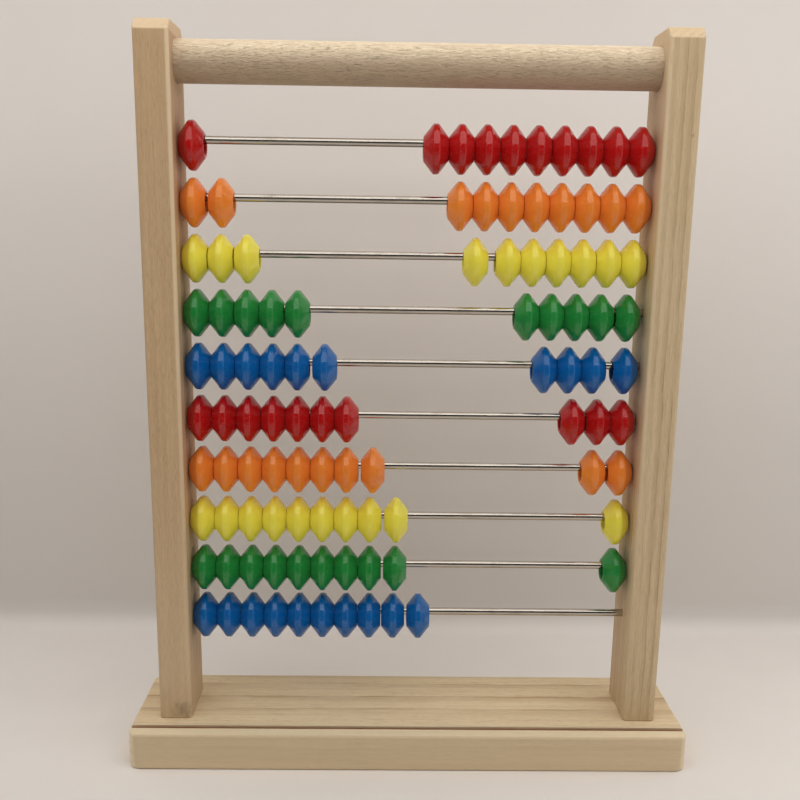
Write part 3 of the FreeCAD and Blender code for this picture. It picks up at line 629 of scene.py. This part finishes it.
# A sheet of paper lies under the part and bends up behind it. Heights and lengths are in metres.
studio = {
    # The wall's foot colour is painted shade.
    "floorPaper": (0.95, 0.91, 0.88, 1), "footPaper": (0.76, 0.725, 0.695, 1),
    "wallPaper": (0.88, 0.84, 0.81, 1), "cloudPaper": (0.68, 0.64, 0.60, 1), "cloudAmount": 0.10,
    "foot": (0.001, 0.012), "wall": (0.05, 0.40), "floorHeight": -0.0001,
    "flatEnd": 0.142, "bend": 0.02, "bendSteps": 12, "halfWidth": 1.6, "front": -1.6, "top": 1.5,
    "room": (0.045, 0.043, 0.040, 1), "beyond": (0.60, 0.56, 0.53, 1),
}
lampTint = (1.0, 0.97, 0.93)
lamps = {
    "roof": {"place": (0, -0.14, 0.52), "turn": (0, 0, 0), "size": (0.84, 0.50), "brightness": 1.47},
    "frontStrip": {"place": (0, -0.405, 0.515), "turn": (0, 0, 0), "size": (0.84, 0.03), "brightness": 4.2},
    "leftStrip": {"place": (-0.405, -0.14, 0.515), "turn": (0, 0, 0), "size": (0.03, 0.50),
                  "brightness": 2.0},
    "rightStrip": {"place": (0.405, -0.14, 0.515), "turn": (0, 0, 0), "size": (0.03, 0.50),
                   "brightness": 2.0},
    "leftWall": {"place": (-0.43, -0.12, 0.27), "turn": (0, -90, 0), "size": (0.50, 0.54),
                 "brightness": 0.28},
    "rightWall": {"place": (0.43, -0.12, 0.27), "turn": (0, 90, 0), "size": (0.50, 0.54),
                  "brightness": 0.58},
    "doorway": {"place": (0, -1.3, 0.20), "turn": (90, 0, 0), "size": (1.2, 0.8), "brightness": 0.30,
                "glossy": False},
}


def makeSweepPaper(look):
    material, tree, place = startMaterial("sweepPaper")
    cloud = noise(tree, stretch(tree, place, (9, 9, 9)), 4.0, 0.6)
    tooth = noise(tree, stretch(tree, place, (900, 900, 900)), 2.0)
    height = splitVector(tree, place)[2]
    # The wall darkens towards its foot, a painted shade.
    colour = blendColours(tree, ease(tree, height, *look["wall"]), look["footPaper"], look["wallPaper"])
    colour = blendColours(tree, ease(tree, height, *look["foot"]), look["floorPaper"], colour)
    clouded = ease(tree, cloud, 0.3, 0.7, 0.0, look["cloudAmount"])
    colour = blendColours(tree, clouded, colour, look["cloudPaper"])
    paper = addShader(tree, {"Base Color": colour, "Roughness": 0.75, "Specular IOR Level": 0.2},
                      tooth, 0.0001, 0.15)
    # Seen from behind, the paper is clear, so that the back of the part can be looked at.
    clear = tree.nodes.new("ShaderNodeBsdfTransparent").outputs[0]
    behind = tree.nodes.new("ShaderNodeNewGeometry").outputs["Backfacing"]
    finishMaterial(tree, addNode(tree, "ShaderNodeMixShader", {0: behind, 1: paper, 2: clear}).outputs[0])
    return material


def makeSweep(look):
    floor, bend, wallPlace = look["floorHeight"], look["bend"], look["flatEnd"] + look["bend"]
    line = [(look["front"], floor), (-0.4, floor), (look["flatEnd"] - 0.1, floor)]
    for step in range(look["bendSteps"] + 1):
        angle = math.radians(90 * step / look["bendSteps"])
        line.append((look["flatEnd"] + bend * math.sin(angle), bend * (1 - math.cos(angle)) + floor))
    line += [(wallPlace, 0.3), (wallPlace, look["top"])]
    points, faces = [], []
    for y, z in line:
        points += [(-look["halfWidth"], y, z), (look["halfWidth"], y, z)]
    for step in range(len(line) - 1):
        faces.append((2 * step, 2 * step + 1, 2 * step + 3, 2 * step + 2))
    mesh = bpy.data.meshes.new("sweep")
    mesh.from_pydata(points, [], faces)
    mesh.shade_smooth()
    sweep = bpy.data.objects.new("sweep", mesh)
    scene.collection.objects.link(sweep)
    mesh.materials.append(makeSweepPaper(look))


def addLamp(name, look):
    data = bpy.data.lights.new(name, "AREA")
    data.shape = "RECTANGLE"
    data.size, data.size_y = look["size"]
    data.energy = look["brightness"] * math.pi * look["size"][0] * look["size"][1]
    data.color = lampTint
    lamp = bpy.data.objects.new(name, data)
    lamp.location = look["place"]
    lamp.rotation_euler = [math.radians(angle) for angle in look["turn"]]
    lamp.visible_camera = False
    lamp.visible_glossy = look.get("glossy", True)
    scene.collection.objects.link(lamp)


def makeWorld(look):
    # The room lights the part dimly, and is paler where it is seen beyond the paper.
    world = bpy.data.worlds.new("room")
    world.use_nodes = True
    scene.world = world
    tree = world.node_tree
    tree.nodes.clear()
    dim, seen = (addNode(tree, "ShaderNodeBackground", {0: look[key], 1: 1.0}).outputs[0]
                 for key in ("room", "beyond"))
    straight = tree.nodes.new("ShaderNodeLightPath").outputs["Is Camera Ray"]
    mixed = addNode(tree, "ShaderNodeMixShader", {0: straight, 1: dim, 2: seen})
    addNode(tree, "ShaderNodeOutputWorld", {"Surface": mixed.outputs[0]})


makeSweep(studio)
for lampName, lampLook in lamps.items():
    addLamp(lampName, lampLook)
makeWorld(studio)
print("studio lit")


# Angles are in degrees: heading turns right from +Y, and pitch is up from level.
viewpoint = {
    "place": (-0.0164, -0.5218, 0.2865), "heading": 0.953, "pitch": -12.9, "roll": 0.8165,
    "lens": 44.94, "shift": (0.0033, 0.0655),
}


def makeCamera(look):
    heading, pitch, roll = (math.radians(look[key]) for key in ("heading", "pitch", "roll"))
    level = math.cos(pitch)
    ahead = Vector((math.sin(heading) * level, math.cos(heading) * level, math.sin(pitch)))
    right = Vector((math.cos(heading), -math.sin(heading), 0))
    up = right.cross(ahead)
    across = right * math.cos(roll) + up * math.sin(roll)
    over = up * math.cos(roll) - right * math.sin(roll)
    turn = Matrix((across, over, -ahead)).transposed()
    data = bpy.data.cameras.new("camera")
    data.sensor_width = 36
    data.lens = look["lens"]
    data.shift_x, data.shift_y = look["shift"]
    data.clip_start, data.clip_end = 0.01, 20
    camera = bpy.data.objects.new("camera", data)
    camera.matrix_world = Matrix.Translation(look["place"]) @ turn.to_4x4()
    scene.collection.objects.link(camera)
    scene.camera = camera


makeCamera(viewpoint)
